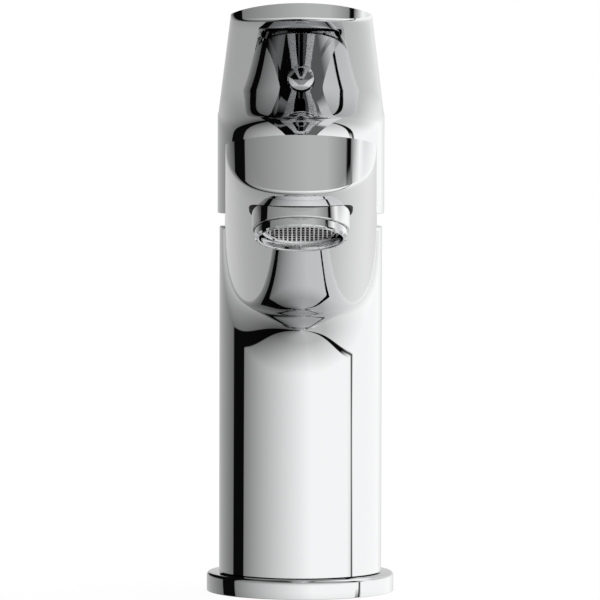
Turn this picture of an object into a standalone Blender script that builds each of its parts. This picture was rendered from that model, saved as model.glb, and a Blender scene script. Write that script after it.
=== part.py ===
"""Single lever basin mixer tap.

Metres, +Z up. The origin is the centre of the foot on the deck, and the spout and lever point to -Y.
"Reach" is a distance from the column's axis towards -Y.
"""
import math
from dataclasses import dataclass, replace

import bmesh
import bpy
from mathutils import Matrix, Vector

MM = 0.001
GAP = 0.3 * MM                      # left between pieces that touch
MERGE = 0.01 * MM
OVERRUN = 3.0 * MM                  # how far a cutter runs past what it cuts

# Column and base ring
BODY_RADIUS = 24.0 * MM
BODY_TOP = 107.6 * MM
BODY_EDGE = 0.4 * MM
SPIGOT_RADIUS = 20.0 * MM
RING_RADIUS = 27.65 * MM
RING_HEIGHT = 5.6 * MM
RING_EDGE = 1.0 * MM
GASKET_RADIUS = 26.0 * MM
GASKET_WIDTH = 3.2 * MM
GASKET_HEIGHT = 1.2 * MM
GASKET_LIFT = 0.1 * MM              # above the deck once pressed flat

# Threaded sockets in the foot
INLET_SOCKET_RADIUS = 5.0 * MM
INLET_SOCKET_DEPTH = 18.0 * MM
INLET_PASSAGE_RADIUS = 4.0 * MM
INLET_SIDE = 8.0 * MM
INLET_REACH = 4.0 * MM
STUD_RADIUS = 4.0 * MM
STUD_DEPTH = 22.0 * MM
STUD_BACK = 11.0 * MM

# Spout
SPOUT_REACH = 148.0 * MM
SPOUT_TOP_AT_WALL = 110.6 * MM
SPOUT_TOP_ANGLE = 11.8
SPOUT_UNDER_AT_WALL = 80.2 * MM
SPOUT_UNDER_ANGLE = 17.5
SPOUT_HALF_WIDTH = 22.9 * MM        # at the column's axis
SPOUT_SIDE_TAPER = 0.021
SPOUT_TIP_RADIUS = 22.1 * MM
SPOUT_FILLET = 14.0 * MM
SPOUT_WALL = 3.1 * MM
SPOUT_EDGE = 0.7 * MM
DUCT_START = 27.5 * MM
PORT_RADIUS = 5.5 * MM
PORT_HEIGHT = 85.5 * MM             # where the port's axis leaves the chamber

# Outlet collar and flow straightener
OUTLET_SETBACK = 18.5 * MM          # from the spout's reach to the outlet's axis
COLLAR_RADIUS = 13.8 * MM
COLLAR_DROP = 2.2 * MM
COLLAR_RISE = 8.5 * MM
OUTLET_BORE = 12.0 * MM
OUTLET_BORE_DEPTH = 5.6 * MM
OUTLET_THROAT = 10.0 * MM
AERATOR_FLANGE = 0.6 * MM           # past the bore's radius
AERATOR_FLANGE_HEIGHT = 2.4 * MM
AERATOR_WALL = 1.0 * MM
AERATOR_THREAD_LENGTH = 4.0 * MM
AERATOR_RECESS = 1.7 * MM
KEY_SLOTS = 12
KEY_SLOT_WIDTH = 3.6 * MM
KEY_SLOT_DEPTH = 0.5 * MM
INSERT_WALL = 1.1 * MM
INSERT_PLATE = 1.5 * MM
INSERT_SETBACK = 1.0 * MM           # from the housing's rim to the insert's
JET_RADIUS = 0.8 * MM
MESH_SETBACK = 0.9 * MM             # from the insert's rim to the mesh
MESH_THICKNESS = 0.35 * MM
MESH_FRAME = 0.7 * MM
MESH_PITCH = 1.2 * MM
MESH_STRAND = 0.45 * MM
WASHER_HEIGHT = 1.0 * MM
WASHER_WIDTH = 1.7 * MM
SIEVE_RISE = 2.2 * MM
SIEVE_WALL = 0.6 * MM

# Cartridge
CHAMBER_RADIUS = 18.0 * MM
CHAMBER_FLOOR = 68.0 * MM
SHOULDER_HEIGHT = 98.0 * MM         # where the nut presses on the housing
CARTRIDGE_LOWER_RADIUS = 17.0 * MM
CARTRIDGE_BASE_HEIGHT = 6.0 * MM
DISC_THICKNESS = 4.5 * MM
FIXED_DISC_RADIUS = 15.3 * MM
MOVING_DISC_RADIUS = 11.8 * MM
CARRIER_PLATE = 3.5 * MM
TOWER_SIDE = 6.5 * MM
TOWER_DEPTH = 5.5 * MM
HOUSING_INNER_RADIUS = 15.6 * MM
HOUSING_STEP = 89.0 * MM
TURN_RADIUS = 13.3 * MM             # of the stem carrier's flange
NECK_RADIUS = 15.2 * MM
NECK_TOP = 109.5 * MM
STEM_CARRIER_RADIUS = 12.4 * MM
STEM_CARRIER_TOP = 113.0 * MM
FLANGE_TOP = 96.3 * MM
SEAL_RING = 0.8 * MM
SEAL_HEIGHT = 95.5 * MM
PORT_SEAL_INNER = 3.3 * MM
PORT_SEAL_OUTER = 4.7 * MM
PORT_SEAL_HEIGHT = 1.6 * MM
NUT_RADIUS = 19.6 * MM
NUT_HEIGHT = 8.0 * MM
NUT_NOTCHES = 6

# Stem, and the pin it tilts on
PIVOT_HEIGHT = 104.0 * MM
PIN_RADIUS = 1.5 * MM
STEM_SIDE = 8.0 * MM
STEM_TOP = 134.5 * MM
STEM_SHOULDER = 4.5 * MM            # square part starts this far under the pivot
STEM_NECK = 2.0 * MM
BALL_DROP = 10.0 * MM
BALL_RADIUS = 2.9 * MM
LIFT_ANGLE = 20.0
LIFT_CLEARANCE = 1.5 * MM           # rear skirt over the body's rim at full lift

# Domed cover
DOME_RADIUS = 21.5 * MM
DOME_OPENING = 15.5 * MM
DOME_WALL = 1.2 * MM
DOME_SPIGOT = 1.0 * MM

# Handle
CAP_RADIUS = 24.6 * MM
CAP_GAP = 3.8 * MM                  # seen between the body's rim and the skirt
CAP_WALL = 2.7 * MM
CAP_ROOF = 4.3 * MM
CAP_EDGE = 0.4 * MM
LEVER_REACH = 106.7 * MM
LEVER_TOP_AT_AXIS = 141.7 * MM
LEVER_TOP_ANGLE = 16.0
LEVER_UNDER_AT_WALL = 141.0 * MM
LEVER_UNDER_ANGLE = 17.5
LEVER_HALF_WIDTH = 24.5 * MM
LEVER_SIDE_TAPER = 0.050
LEVER_TIP_RADIUS = 24.1 * MM
LEVER_FILLET = 16.0 * MM
LEVER_EDGE = 0.7 * MM
BOSS_RADIUS = 7.8 * MM
BOSS_BOTTOM = 118.5 * MM
SOCKET_CLEARANCE = 0.3 * MM
RIB_WIDTH = 10.0 * MM
RIB_LIFT = 1.0 * MM                 # over the boss's lower end
SCREW_HEIGHT = 128.0 * MM
SCREW_RADIUS = 2.5 * MM
SCREW_LENGTH = 10.0 * MM
PLUG_RADIUS = 4.3 * MM
PLUG_SHANK = 2.9 * MM
PLUG_SHANK_LENGTH = 6.0 * MM

# Facets
ROUND_STEPS = 64
INNER_STEPS = 36
HOLE_STEPS = 20
ARM_COLUMNS = 20
FILLET_STEPS = 6
DOME_STEPS = 6
SOLVE_STEPS = 50


def clear_scene():
    for obj in list(bpy.data.objects):
        bpy.data.objects.remove(obj, do_unlink=True)


def make_collection(name):
    collection = bpy.data.collections.new(name)
    bpy.context.scene.collection.children.link(collection)
    return collection


def make_material(name, colour, metallic, roughness):
    material = bpy.data.materials.new(name)
    material.use_nodes = True
    shader = material.node_tree.nodes["Principled BSDF"]
    shader.inputs["Base Color"].default_value = (*colour, 1.0)
    shader.inputs["Metallic"].default_value = metallic
    shader.inputs["Roughness"].default_value = roughness
    return material


clear_scene()
PARTS = make_collection("mixer_tap")
CUTTERS = make_collection("cutters")
CHROME = ((0.80, 0.81, 0.82), 1.0, 0.04)
BRASS = ((0.75, 0.56, 0.28), 1.0, 0.30)
STEEL = ((0.62, 0.62, 0.60), 1.0, 0.25)
RUBBER = ((0.03, 0.03, 0.03), 0.0, 0.70)
CERAMIC = ((0.90, 0.88, 0.84), 0.0, 0.30)
PLASTIC = ((0.85, 0.85, 0.83), 0.0, 0.45)


def add_object(name, mesh, finish=None):
    """Link a piece with its own material, or a cutter when no finish is given."""
    obj = bpy.data.objects.new(name, mesh)
    if finish:
        mesh.materials.append(make_material(name, *finish))
        PARTS.objects.link(obj)
    else:
        CUTTERS.objects.link(obj)
        obj.hide_render = True
        obj.display_type = "WIRE"
    return obj


def turned(name, outline, finish=None, ring=False, steps=INNER_STEPS):
    """Turn (radius, height) points about Z. The outline runs down its outer side; a ring's closes."""
    points = [(radius, 0.0, height) for radius, height in outline]
    edges = [(i, i + 1) for i in range(len(points) - 1)]
    if ring:
        edges.append((len(points) - 1, 0))
    mesh = bpy.data.meshes.new(name)
    mesh.from_pydata(points, edges, [])
    obj = add_object(name, mesh, finish)
    screw = obj.modifiers.new("turn", "SCREW")
    screw.axis = "Z"
    screw.angle = 2.0 * math.pi
    screw.steps = steps
    screw.render_steps = steps
    screw.use_merge_vertices = True
    screw.merge_threshold = MERGE
    screw.use_smooth_shade = True
    return obj


def rod(name, radius, low, high, finish=None, steps=HOLE_STEPS, at=(0.0, 0.0)):
    """An upright cylinder between two heights."""
    obj = turned(name, [(0.0, high), (radius, high), (radius, low), (0.0, low)], finish, steps=steps)
    obj.location = (at[0], at[1], 0.0)
    return obj


def block(name, low, high, finish=None):
    """A box between two corners, its scale applied."""
    low = Vector(low)
    high = Vector(high)
    shape = bmesh.new()
    bmesh.ops.create_cube(shape, size=1.0)
    bmesh.ops.scale(shape, vec=high - low, verts=shape.verts)
    bmesh.ops.translate(shape, vec=(low + high) / 2.0, verts=shape.verts)
    mesh = bpy.data.meshes.new(name)
    shape.to_mesh(mesh)
    shape.free()
    return add_object(name, mesh, finish)


def combine(obj, tools, operation):
    for tool in tools:
        modifier = obj.modifiers.new(tool.name, "BOOLEAN")
        modifier.operation = operation
        modifier.solver = "EXACT"
        modifier.object = tool


def cut(obj, *tools):
    combine(obj, tools, "DIFFERENCE")


def join(obj, *tools):
    combine(obj, tools, "UNION")


def many(name, items):
    """One cutter made of separate boxes: each item is (size, place, turn about Z)."""
    shape = bmesh.new()
    for size, place, angle in items:
        made = bmesh.ops.create_cube(shape, size=1.0)
        bmesh.ops.scale(shape, vec=size, verts=made["verts"])
        bmesh.ops.translate(shape, vec=place, verts=made["verts"])
        bmesh.ops.rotate(shape, cent=Vector(), matrix=Matrix.Rotation(angle, 3, "Z"), verts=made["verts"])
    mesh = bpy.data.meshes.new(name)
    shape.to_mesh(mesh)
    shape.free()
    return add_object(name, mesh)


def solve(function, low, high):
    """Where a rising function crosses zero."""
    for _ in range(SOLVE_STEPS):
        middle = (low + high) / 2.0
        if function(middle) < 0.0:
            low = middle
        else:
            high = middle
    return (low + high) / 2.0


@dataclass(frozen=True)
class Arm:
    """A spout or lever: flat sloping top, half-ellipse underside, and a round blend into a round wall."""
    wall: float
    reach: float
    top_at_axis: float
    top_angle: float
    under_at_wall: float
    under_angle: float
    half_width: float
    side_taper: float
    tip_radius: float
    fillet: float
    edge: float

    def top(self, reach):
        return self.top_at_axis + reach * math.tan(math.radians(self.top_angle))

    def under(self, reach):
        return self.under_at_wall + (reach - self.wall) * math.tan(math.radians(self.under_angle))

    def half(self, reach):
        return self.half_width - reach * self.side_taper

    def side_point(self, reach, turn):
        """A point of the underside. The turn runs from one edge, 0, to the other, pi."""
        depth = self.top(reach) - self.under(reach)
        return Vector((self.half(reach) * math.cos(turn), reach, self.top(reach) - depth * math.sin(turn)))

    def top_point(self, reach, turn):
        return Vector((self.half(reach) * math.cos(turn), reach, self.top(reach)))

    def outward(self, reach, turn):
        """The underside's normal, from its two tangents."""
        depth = self.top(reach) - self.under(reach)
        around = Vector((-self.half(reach) * math.sin(turn), 0.0, -depth * math.cos(turn)))
        ahead = self.side_point(reach + MM, turn) - self.side_point(reach, turn)
        return around.cross(ahead).normalized()

    def past_tip(self, point):
        """How far a point lies past the tip's round face, which stands square to the sloping top."""
        slope = math.radians(self.top_angle)
        ahead = (point.y - self.reach) * math.cos(slope) + (point.z - self.top(self.reach)) * math.sin(slope)
        return math.hypot(ahead + self.tip_radius, point.x) - self.tip_radius

    def to_tip(self, place, turn):
        """Follow a straight line of the surface out to the tip's face."""
        reach = solve(lambda r: self.past_tip(place(r, turn)), self.reach - self.tip_radius, 1.2 * self.reach)
        return place(reach, turn)

    def blend(self, turn):
        """Roll a ball along the wall and the underside: its arc from one to the other."""
        ball = self.wall + self.fillet

        def centre(reach):
            return self.side_point(reach, turn) + self.fillet * self.outward(reach, turn)

        reach = solve(lambda r: math.hypot(centre(r).x, centre(r).y) - ball, 0.0, self.reach)
        middle = centre(reach)
        start = (self.side_point(reach, turn) - middle).normalized()
        level = Vector((middle.x, middle.y, 0.0))
        end = -level.normalized()
        arc = [middle + self.fillet * start.slerp(end, step / FILLET_STEPS)
               for step in range(FILLET_STEPS + 1)]
        inside = arc[-1] + OVERRUN * end
        return arc + [inside]

    def rows(self, lift):
        """Rows from the tip to inside the wall: a row's under points, then the points over them."""
        turns = [math.pi * column / ARM_COLUMNS for column in range(ARM_COLUMNS + 1)]
        raised = Vector((0.0, 0.0, lift))
        under = [self.to_tip(self.side_point, turn) for turn in turns]
        over = [self.to_tip(self.top_point, turn) + raised for turn in turns]
        inward = [self.edge * self.along_face(point, turn) for point, turn in zip(under, turns)]
        blends = [self.blend(turn) for turn in turns]
        backward = [self.edge * (blend[0] - point).normalized() for blend, point in zip(blends, under)]
        face = [point + step for point, step in zip(under, inward)]
        rows = [face + [self.above_face(point) + raised for point in reversed(face)]]
        rows.append([point + step for point, step in zip(under, backward)]
                    + [point + step for point, step in zip(over, backward)][::-1])
        for step in range(FILLET_STEPS + 2):
            line = [blend[step] for blend in blends]
            rows.append(line + [Vector((point.x, point.y, self.top(point.y))) + raised
                                for point in reversed(line)])
        return rows

    def above_face(self, point):
        """Where the tip's face meets the top, over a point of the face."""
        def place(reach, _):
            return Vector((point.x, reach, self.top(reach)))

        return self.to_tip(place, 0.0)

    def along_face(self, point, turn):
        """The way from the underside's edge into the tip's face."""
        slope = math.radians(self.top_angle)
        ahead = math.sqrt(max(0.0, self.tip_radius ** 2 - point.x ** 2))
        facing = Vector((point.x, ahead * math.cos(slope), ahead * math.sin(slope))).normalized()
        inward = -self.outward(point.y, turn)
        return (inward - inward.dot(facing) * facing).normalized()


def skin(name, rows):
    """A closed mesh through rows of under and over points, capped column by column at both ends."""
    shape = bmesh.new()
    lines = [[shape.verts.new((point.x, -point.y, point.z)) for point in row] for row in rows]
    count = len(rows[0])
    for first, second in zip(lines, lines[1:]):
        for index in range(count):
            following = (index + 1) % count
            shape.faces.new((first[index], first[following], second[following], second[index]))
    for line in (lines[0], lines[-1]):
        for column in range(count // 2 - 1):
            opposite = count - 1 - column
            shape.faces.new((line[column], line[column + 1], line[opposite - 1], line[opposite]))
    bmesh.ops.remove_doubles(shape, verts=shape.verts, dist=MERGE)
    bmesh.ops.recalc_face_normals(shape, faces=shape.faces)
    mesh = bpy.data.meshes.new(name)
    shape.to_mesh(mesh)
    shape.free()
    return add_object(name, mesh)


def slab_above(name, arm, drop=0.0):
    """A big box over an arm's sloping top, lowered by a drop."""
    size = 3.0 * SPOUT_REACH
    obj = block(name, (-size, -size, 0.0), (size, size, size))
    obj.location = (0.0, 0.0, arm.top_at_axis - drop / math.cos(math.radians(arm.top_angle)))
    obj.rotation_euler = (-math.radians(arm.top_angle), 0.0, 0.0)
    return obj


SPOUT = Arm(
    wall=BODY_RADIUS, reach=SPOUT_REACH,
    top_at_axis=SPOUT_TOP_AT_WALL - BODY_RADIUS * math.tan(math.radians(SPOUT_TOP_ANGLE)),
    top_angle=SPOUT_TOP_ANGLE, under_at_wall=SPOUT_UNDER_AT_WALL, under_angle=SPOUT_UNDER_ANGLE,
    half_width=SPOUT_HALF_WIDTH, side_taper=SPOUT_SIDE_TAPER, tip_radius=SPOUT_TIP_RADIUS,
    fillet=SPOUT_FILLET, edge=SPOUT_EDGE)
LEVER = Arm(
    wall=CAP_RADIUS, reach=LEVER_REACH, top_at_axis=LEVER_TOP_AT_AXIS, top_angle=LEVER_TOP_ANGLE,
    under_at_wall=LEVER_UNDER_AT_WALL, under_angle=LEVER_UNDER_ANGLE,
    half_width=LEVER_HALF_WIDTH, side_taper=LEVER_SIDE_TAPER, tip_radius=LEVER_TIP_RADIUS,
    fillet=LEVER_FILLET, edge=LEVER_EDGE)


def base_ring():
    """Round ring under the column, with a groove for its gasket."""
    hole = SPIGOT_RADIUS + GAP
    groove_out = GASKET_RADIUS + GAP
    groove_in = GASKET_RADIUS - GASKET_WIDTH - GAP
    groove_top = GASKET_LIFT + GASKET_HEIGHT + GAP
    bevel = RING_EDGE * (1.0 - math.sqrt(0.5))
    turned("base_ring", [
        (hole, RING_HEIGHT), (RING_RADIUS - RING_EDGE, RING_HEIGHT),
        (RING_RADIUS - bevel, RING_HEIGHT - bevel), (RING_RADIUS, RING_HEIGHT - RING_EDGE),
        (RING_RADIUS, RING_EDGE / 2.0), (RING_RADIUS - RING_EDGE / 2.0, 0.0),
        (groove_out, 0.0), (groove_out, groove_top), (groove_in, groove_top), (groove_in, 0.0),
        (hole, 0.0)], CHROME, ring=True, steps=ROUND_STEPS)


def base_gasket():
    inner = GASKET_RADIUS - GASKET_WIDTH
    top = GASKET_LIFT + GASKET_HEIGHT
    turned("base_gasket", [
        (inner, top), (GASKET_RADIUS, top), (GASKET_RADIUS, GASKET_LIFT), (inner, GASKET_LIFT)],
        RUBBER, ring=True)


def body():
    """The casting: column, spout, collar, chamber, duct and sockets."""
    shoulder = RING_HEIGHT + GAP
    obj = turned("body", [
        (0.0, BODY_TOP), (BODY_RADIUS - BODY_EDGE, BODY_TOP), (BODY_RADIUS, BODY_TOP - BODY_EDGE),
        (BODY_RADIUS, shoulder), (SPIGOT_RADIUS, shoulder), (SPIGOT_RADIUS, 0.0), (0.0, 0.0)],
        CHROME, steps=ROUND_STEPS)
    spout = skin("spout_form", SPOUT.rows(OVERRUN))
    cut(spout, slab_above("spout_top", SPOUT))
    join(obj, spout)
    cut(obj, chamber_cutter(), duct_cutter())
    join(obj, outlet_rod("collar", COLLAR_RADIUS, -COLLAR_DROP, COLLAR_RISE, ROUND_STEPS))
    cut(obj, outlet_bore(), port_cutter(), *foot_cutters())
    return obj


def chamber_cutter():
    """The cartridge's chamber, the nut's bore over it, and room for the domed cover's foot."""
    nut_bore = NUT_RADIUS + GAP
    cover = DOME_RADIUS + GAP
    step = SHOULDER_HEIGHT - GAP
    top = BODY_TOP + DOME_RADIUS
    return turned("chamber", [
        (0.0, top), (cover, top), (cover, BODY_TOP), (nut_bore, BODY_TOP), (nut_bore, step),
        (CHAMBER_RADIUS, step), (CHAMBER_RADIUS, CHAMBER_FLOOR), (0.0, CHAMBER_FLOOR)],
        steps=ROUND_STEPS)


def duct_cutter():
    """The spout's hollow, one wall inside its outer form."""
    inner = replace(
        SPOUT, reach=SPOUT.reach - SPOUT_WALL, top_at_axis=SPOUT.top_at_axis - SPOUT_WALL,
        under_at_wall=SPOUT.under_at_wall + SPOUT_WALL, half_width=SPOUT.half_width - SPOUT_WALL,
        tip_radius=SPOUT.tip_radius - SPOUT_WALL)
    turns = [math.pi * column / ARM_COLUMNS for column in range(ARM_COLUMNS + 1)]
    tip = [inner.to_tip(inner.side_point, turn) for turn in turns]
    tip += [inner.to_tip(inner.top_point, turn) for turn in reversed(turns)]
    root = [inner.side_point(DUCT_START, turn) for turn in turns]
    root += [inner.top_point(DUCT_START, turn) for turn in reversed(turns)]
    return skin("duct", [tip, root])


def port_cutter():
    """The sloping port from the chamber to the duct."""
    length = DUCT_START + PORT_RADIUS - CHAMBER_RADIUS + OVERRUN
    obj = rod("port", PORT_RADIUS, -OVERRUN, length)
    obj.location = (0.0, -CHAMBER_RADIUS, PORT_HEIGHT)
    obj.rotation_euler = (math.radians(90.0 - SPOUT_UNDER_ANGLE), 0.0, 0.0)
    return obj


def foot_cutters():
    """Two threaded inlet sockets with their passages, and the hole for the fixing stud."""
    cutters = []
    for side, name in ((1.0, "inlet_hot"), (-1.0, "inlet_cold")):
        cutters.append(turned(name, [
            (0.0, CHAMBER_FLOOR + OVERRUN), (INLET_PASSAGE_RADIUS, CHAMBER_FLOOR + OVERRUN),
            (INLET_PASSAGE_RADIUS, INLET_SOCKET_DEPTH), (INLET_SOCKET_RADIUS, INLET_SOCKET_DEPTH),
            (INLET_SOCKET_RADIUS, -OVERRUN), (0.0, -OVERRUN)], steps=HOLE_STEPS))
        cutters[-1].location = (-side * INLET_SIDE, -INLET_REACH, 0.0)
    cutters.append(rod("stud_hole", STUD_RADIUS, -OVERRUN, STUD_DEPTH, at=(0.0, STUD_BACK)))
    return cutters


def make_outlet_frame():
    """An empty on the spout's underside, its Z axis up along the outlet's axis."""
    reach = SPOUT_REACH - OUTLET_SETBACK
    empty = bpy.data.objects.new("outlet_frame", None)
    CUTTERS.objects.link(empty)
    empty.location = (0.0, -reach, SPOUT.under(reach))
    empty.rotation_euler = (-math.radians(SPOUT_UNDER_ANGLE), 0.0, 0.0)
    return empty


OUTLET_FRAME = make_outlet_frame()


def on_outlet(obj):
    obj.parent = OUTLET_FRAME
    return obj


def outlet_rod(name, radius, low, high, steps):
    return on_outlet(rod(name, radius, low, high, steps=steps))


def outlet_bore():
    """The threaded bore, the shoulder for the washer, and the throat over it."""
    top = COLLAR_RISE + OVERRUN
    return on_outlet(turned("outlet_bore", [
        (0.0, top), (OUTLET_THROAT, top), (OUTLET_THROAT, OUTLET_BORE_DEPTH),
        (OUTLET_BORE, OUTLET_BORE_DEPTH), (OUTLET_BORE, -COLLAR_DROP - OVERRUN),
        (0.0, -COLLAR_DROP - OVERRUN)], steps=ROUND_STEPS))


def aerator_housing():
    """Threaded ring with a flange under the collar and key slots round its rim."""
    thread = OUTLET_BORE - GAP
    flange = OUTLET_BORE + AERATOR_FLANGE
    seat = -COLLAR_DROP - GAP
    rim = seat - AERATOR_FLANGE_HEIGHT
    inner = thread - AERATOR_WALL
    mouth = flange - AERATOR_WALL
    edge = AERATOR_WALL / 3.0
    obj = on_outlet(turned("aerator_housing", [
        (thread, AERATOR_THREAD_LENGTH), (thread, seat), (flange, seat), (flange, rim + edge),
        (flange - edge, rim), (mouth, rim), (mouth, rim + AERATOR_RECESS),
        (inner, rim + AERATOR_RECESS), (inner, AERATOR_THREAD_LENGTH)],
        CHROME, ring=True, steps=ROUND_STEPS))
    slots = [((KEY_SLOT_WIDTH, 4.0 * AERATOR_WALL, 2.0 * KEY_SLOT_DEPTH), (0.0, flange, rim),
              2.0 * math.pi * slot / KEY_SLOTS) for slot in range(KEY_SLOTS)]
    cut(obj, on_outlet(many("key_slots", slots)))


def insert_rim():
    return -COLLAR_DROP - GAP - AERATOR_FLANGE_HEIGHT + INSERT_SETBACK


def insert_radius():
    return OUTLET_BORE - 2.0 * GAP - AERATOR_WALL


def aerator_insert():
    """Cup with a plate of jets."""
    outer = insert_radius()
    inner = outer - INSERT_WALL
    rim = insert_rim()
    plate = AERATOR_THREAD_LENGTH - INSERT_PLATE
    obj = on_outlet(turned("aerator_insert", [
        (0.0, AERATOR_THREAD_LENGTH - INSERT_PLATE / 2.0),
        (inner, AERATOR_THREAD_LENGTH - INSERT_PLATE / 2.0), (inner, AERATOR_THREAD_LENGTH),
        (outer, AERATOR_THREAD_LENGTH), (outer, rim), (inner, rim),
        (inner, plate - INSERT_PLATE / 2.0), (0.0, plate - INSERT_PLATE / 2.0)], PLASTIC))
    items = []
    for radius, count in ((inner * 0.35, 6), (inner * 0.72, 12)):
        for jet in range(count):
            size = (2.0 * JET_RADIUS, 2.0 * JET_RADIUS, 4.0 * INSERT_PLATE)
            items.append((size, (radius, 0.0, plate), 2.0 * math.pi * jet / count))
    cut(obj, on_outlet(many("jets", items)))


def aerator_mesh():
    """Frame ring with strands both ways, each crossing fused."""
    outer = insert_radius() - INSERT_WALL - GAP
    inner = outer - MESH_FRAME
    low = insert_rim() + MESH_SETBACK
    high = low + MESH_THICKNESS
    obj = on_outlet(turned("aerator_mesh", [
        (inner, high), (outer, high), (outer, low), (inner, low)], STEEL, ring=True))
    middle = (low + high) / 2.0
    count = int(inner / MESH_PITCH)
    along = []
    across = []
    for index in range(-count, count + 1):
        place = index * MESH_PITCH
        length = 2.0 * math.sqrt((inner + 0.4 * MESH_FRAME) ** 2 - place ** 2)
        along.append(((MESH_STRAND, length, 0.8 * MESH_THICKNESS), (place, 0.0, middle), 0.0))
        across.append(((length, MESH_STRAND, 0.6 * MESH_THICKNESS), (0.0, place, middle), 0.0))
    join(obj, on_outlet(many("strands_along", along)), on_outlet(many("strands_across", across[1::2])))


def aerator_washer():
    low = AERATOR_THREAD_LENGTH + GAP
    outer = OUTLET_BORE - 1.5 * GAP
    inner = outer - WASHER_WIDTH
    high = low + WASHER_HEIGHT
    on_outlet(turned("aerator_washer", [(inner, high), (outer, high), (outer, low), (inner, low)],
                     RUBBER, ring=True))


def aerator_screen():
    """Shallow domed sieve inside the washer."""
    outer = OUTLET_BORE - 1.5 * GAP - WASHER_WIDTH - GAP
    low = AERATOR_THREAD_LENGTH + GAP
    rim = low + SIEVE_WALL
    over = [(outer * step / DOME_STEPS, rim + SIEVE_RISE * math.cos(math.pi * step / (2 * DOME_STEPS)))
            for step in range(DOME_STEPS + 1)]
    inner = outer - SIEVE_WALL
    under = [(inner * step / DOME_STEPS, low + SIEVE_RISE * math.cos(math.pi * step / (2 * DOME_STEPS)))
             for step in range(DOME_STEPS, -1, -1)]
    obj = on_outlet(turned("aerator_screen", over + [(outer, low)] + under, PLASTIC))
    items = []
    for share, count in ((0.3, 6), (0.6, 12)):
        for hole in range(count):
            size = (2.0 * JET_RADIUS, 2.0 * JET_RADIUS, 6.0 * SIEVE_RISE)
            items.append((size, (outer * share, 0.0, rim), 2.0 * math.pi * hole / count))
    cut(obj, on_outlet(many("sieve_holes", items)))


def cartridge_levels():
    """Heights of the stack in the cartridge, from the chamber's floor up."""
    base = CHAMBER_FLOOR + GAP
    fixed = base + CARTRIDGE_BASE_HEIGHT + GAP
    moving = fixed + DISC_THICKNESS + GAP
    carrier = moving + DISC_THICKNESS + GAP
    return base, fixed, moving, carrier


def cartridge_base():
    """Lower plastic half: inlets, seal recesses under them, and the outlet to the rear side."""
    base, fixed, _, _ = cartridge_levels()
    obj = rod("cartridge_base", CARTRIDGE_LOWER_RADIUS, base, fixed - GAP, PLASTIC, steps=INNER_STEPS)
    recess = base + PORT_SEAL_HEIGHT + GAP
    cutters = []
    for side, name in ((-1.0, "hot"), (1.0, "cold")):
        cutters.append(turned("base_inlet_" + name, [
            (0.0, fixed + OVERRUN), (PORT_SEAL_INNER - GAP, fixed + OVERRUN),
            (PORT_SEAL_INNER - GAP, recess), (PORT_SEAL_OUTER + GAP, recess),
            (PORT_SEAL_OUTER + GAP, base - OVERRUN), (0.0, base - OVERRUN)], steps=HOLE_STEPS))
        cutters[-1].location = (side * (INLET_SIDE - GAP), -INLET_REACH, 0.0)
    middle = (base + fixed) / 2.0
    outlet = rod("base_outlet", PORT_SEAL_INNER, middle - MM, fixed + OVERRUN, at=(0.0, 6.5 * MM))
    side_way = block("base_side_way", (-PORT_SEAL_INNER * 0.9, 6.5 * MM, middle - MM),
                     (PORT_SEAL_INNER * 0.9, CARTRIDGE_LOWER_RADIUS + OVERRUN, middle + MM))
    cut(obj, *cutters, outlet, side_way)


def inlet_seals():
    base, _, _, _ = cartridge_levels()
    high = base + PORT_SEAL_HEIGHT
    for side, name in ((-1.0, "hot"), (1.0, "cold")):
        obj = turned("inlet_seal_" + name, [
            (PORT_SEAL_INNER, high), (PORT_SEAL_OUTER, high), (PORT_SEAL_OUTER, base),
            (PORT_SEAL_INNER, base)], RUBBER, ring=True, steps=HOLE_STEPS)
        obj.location = (side * (INLET_SIDE - GAP), -INLET_REACH, 0.0)


def fixed_disc():
    _, fixed, moving, _ = cartridge_levels()
    obj = rod("fixed_disc", FIXED_DISC_RADIUS, fixed, moving - GAP, CERAMIC, steps=INNER_STEPS)
    ports = [rod("disc_port_%s" % name, radius, fixed - OVERRUN, moving + OVERRUN, at=place)
             for name, radius, place in (("hot", 2.4 * MM, (-6.5 * MM, -3.0 * MM)),
                                         ("cold", 2.4 * MM, (6.5 * MM, -3.0 * MM)),
                                         ("out", 3.2 * MM, (0.0, 6.5 * MM)))]
    cut(obj, *ports)


def moving_disc():
    """Upper ceramic disc, with the mixing hollow in its underside."""
    _, _, moving, carrier = cartridge_levels()
    obj = rod("moving_disc", MOVING_DISC_RADIUS, moving, carrier - GAP, CERAMIC, steps=INNER_STEPS)
    cut(obj, rod("mixing_hollow", 6.5 * MM, moving - OVERRUN, moving + DISC_THICKNESS / 2.0,
                 at=(0.0, 4.5 * MM)))


def disc_carrier():
    """Plate over the moving disc, with a tower that takes the stem's ball."""
    _, _, _, carrier = cartridge_levels()
    plate_top = carrier + CARRIER_PLATE
    tower_top = PIVOT_HEIGHT - BALL_DROP + BALL_RADIUS
    obj = rod("disc_carrier", MOVING_DISC_RADIUS, carrier, plate_top, PLASTIC, steps=INNER_STEPS)
    tower = block("tower", (-TOWER_SIDE, -TOWER_DEPTH, plate_top - MM), (TOWER_SIDE, TOWER_DEPTH, tower_top))
    hole = BALL_RADIUS + GAP
    socket = rod("ball_socket", hole, PIVOT_HEIGHT - BALL_DROP - hole - GAP, tower_top + OVERRUN)
    join(obj, tower)
    cut(obj, socket)


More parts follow.
